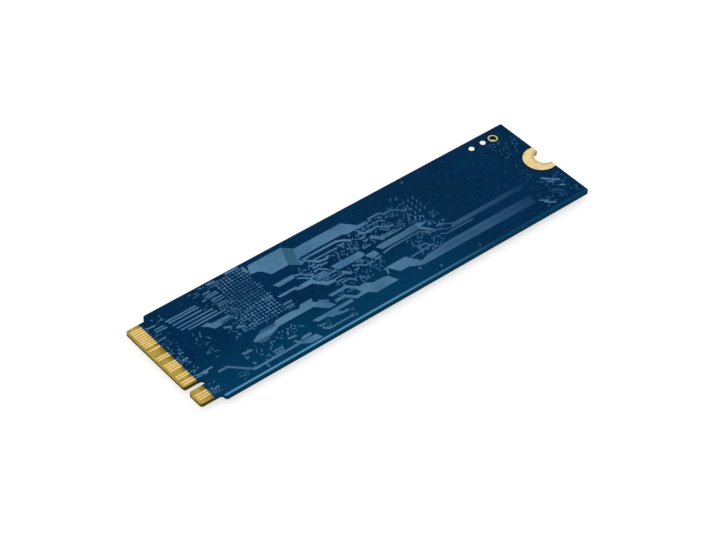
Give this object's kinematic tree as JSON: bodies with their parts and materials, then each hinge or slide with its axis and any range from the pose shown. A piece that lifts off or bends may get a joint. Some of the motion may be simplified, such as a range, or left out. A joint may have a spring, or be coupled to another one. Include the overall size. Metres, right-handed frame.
{
  "type": "m.2 solid state drive",
  "caption": "Slim storage card: blue circuit board with gold edge contacts, key slot and half-round screw notch, chips on one side and coated copper tracks on the bare side.",
  "frame": {"origin": "on the surface that the drive lies on, below the middle of the board", "axes": "+X from the contact edge to the screw notch, +Y away from the key slot, +Z out of the bare side"},
  "size_m": [0.08, 0.022, 0.002],
  "materials": {
    "laminate": "bare glass-epoxy, semi-matt",
    "solder_mask": "dark blue coat, satin",
    "coated_copper": "copper under the blue coat, satin",
    "gold": "gold plate, semi-bright",
    "tin": "tinned, bright",
    "moulding": "black moulding compound, matt",
    "substrate": "dark green package substrate",
    "solder": "tin solder, semi-bright",
    "ferrite": "dark grey pressed ferrite, matt",
    "capacitor_ceramic": "tan ceramic, matt",
    "crystal_ceramic": "dark ceramic, matt",
    "lid_metal": "plated lid, satin",
    "resistor_glaze": "black glaze"
  },
  "bodies": {
    "root": {"printed_board": "laminate", "front_solder_mask": "solder_mask", "back_solder_mask": "solder_mask", "back_tracks": "coated_copper", "back_vias": "coated_copper", "back_contacts": "gold", "front_contacts": "gold", "notch_plating": "gold", "plated_hole_lining": "gold", "test_pads": "tin", "controller_case": "moulding", "controller_substrate": "substrate", "controller_balls": "solder", "flash_1_case": "moulding", "flash_1_substrate": "substrate", "flash_1_balls": "solder", "flash_2_case": "moulding", "flash_2_substrate": "substrate", "flash_2_balls": "solder", "power_chip_case": "moulding", "power_chip_leads": "solder", "inductor_bodies": "ferrite", "inductor_terminals": "solder", "load_switch_case": "moulding", "load_switch_leads": "solder", "large_capacitor_bodies": "capacitor_ceramic", "large_capacitor_terminals": "solder", "small_capacitor_bodies": "capacitor_ceramic", "small_capacitor_terminals": "solder", "crystal_base": "crystal_ceramic", "crystal_lid": "lid_metal", "resistor_bodies": "resistor_glaze", "resistor_terminals": "solder"}
  },
  "joints": []
}
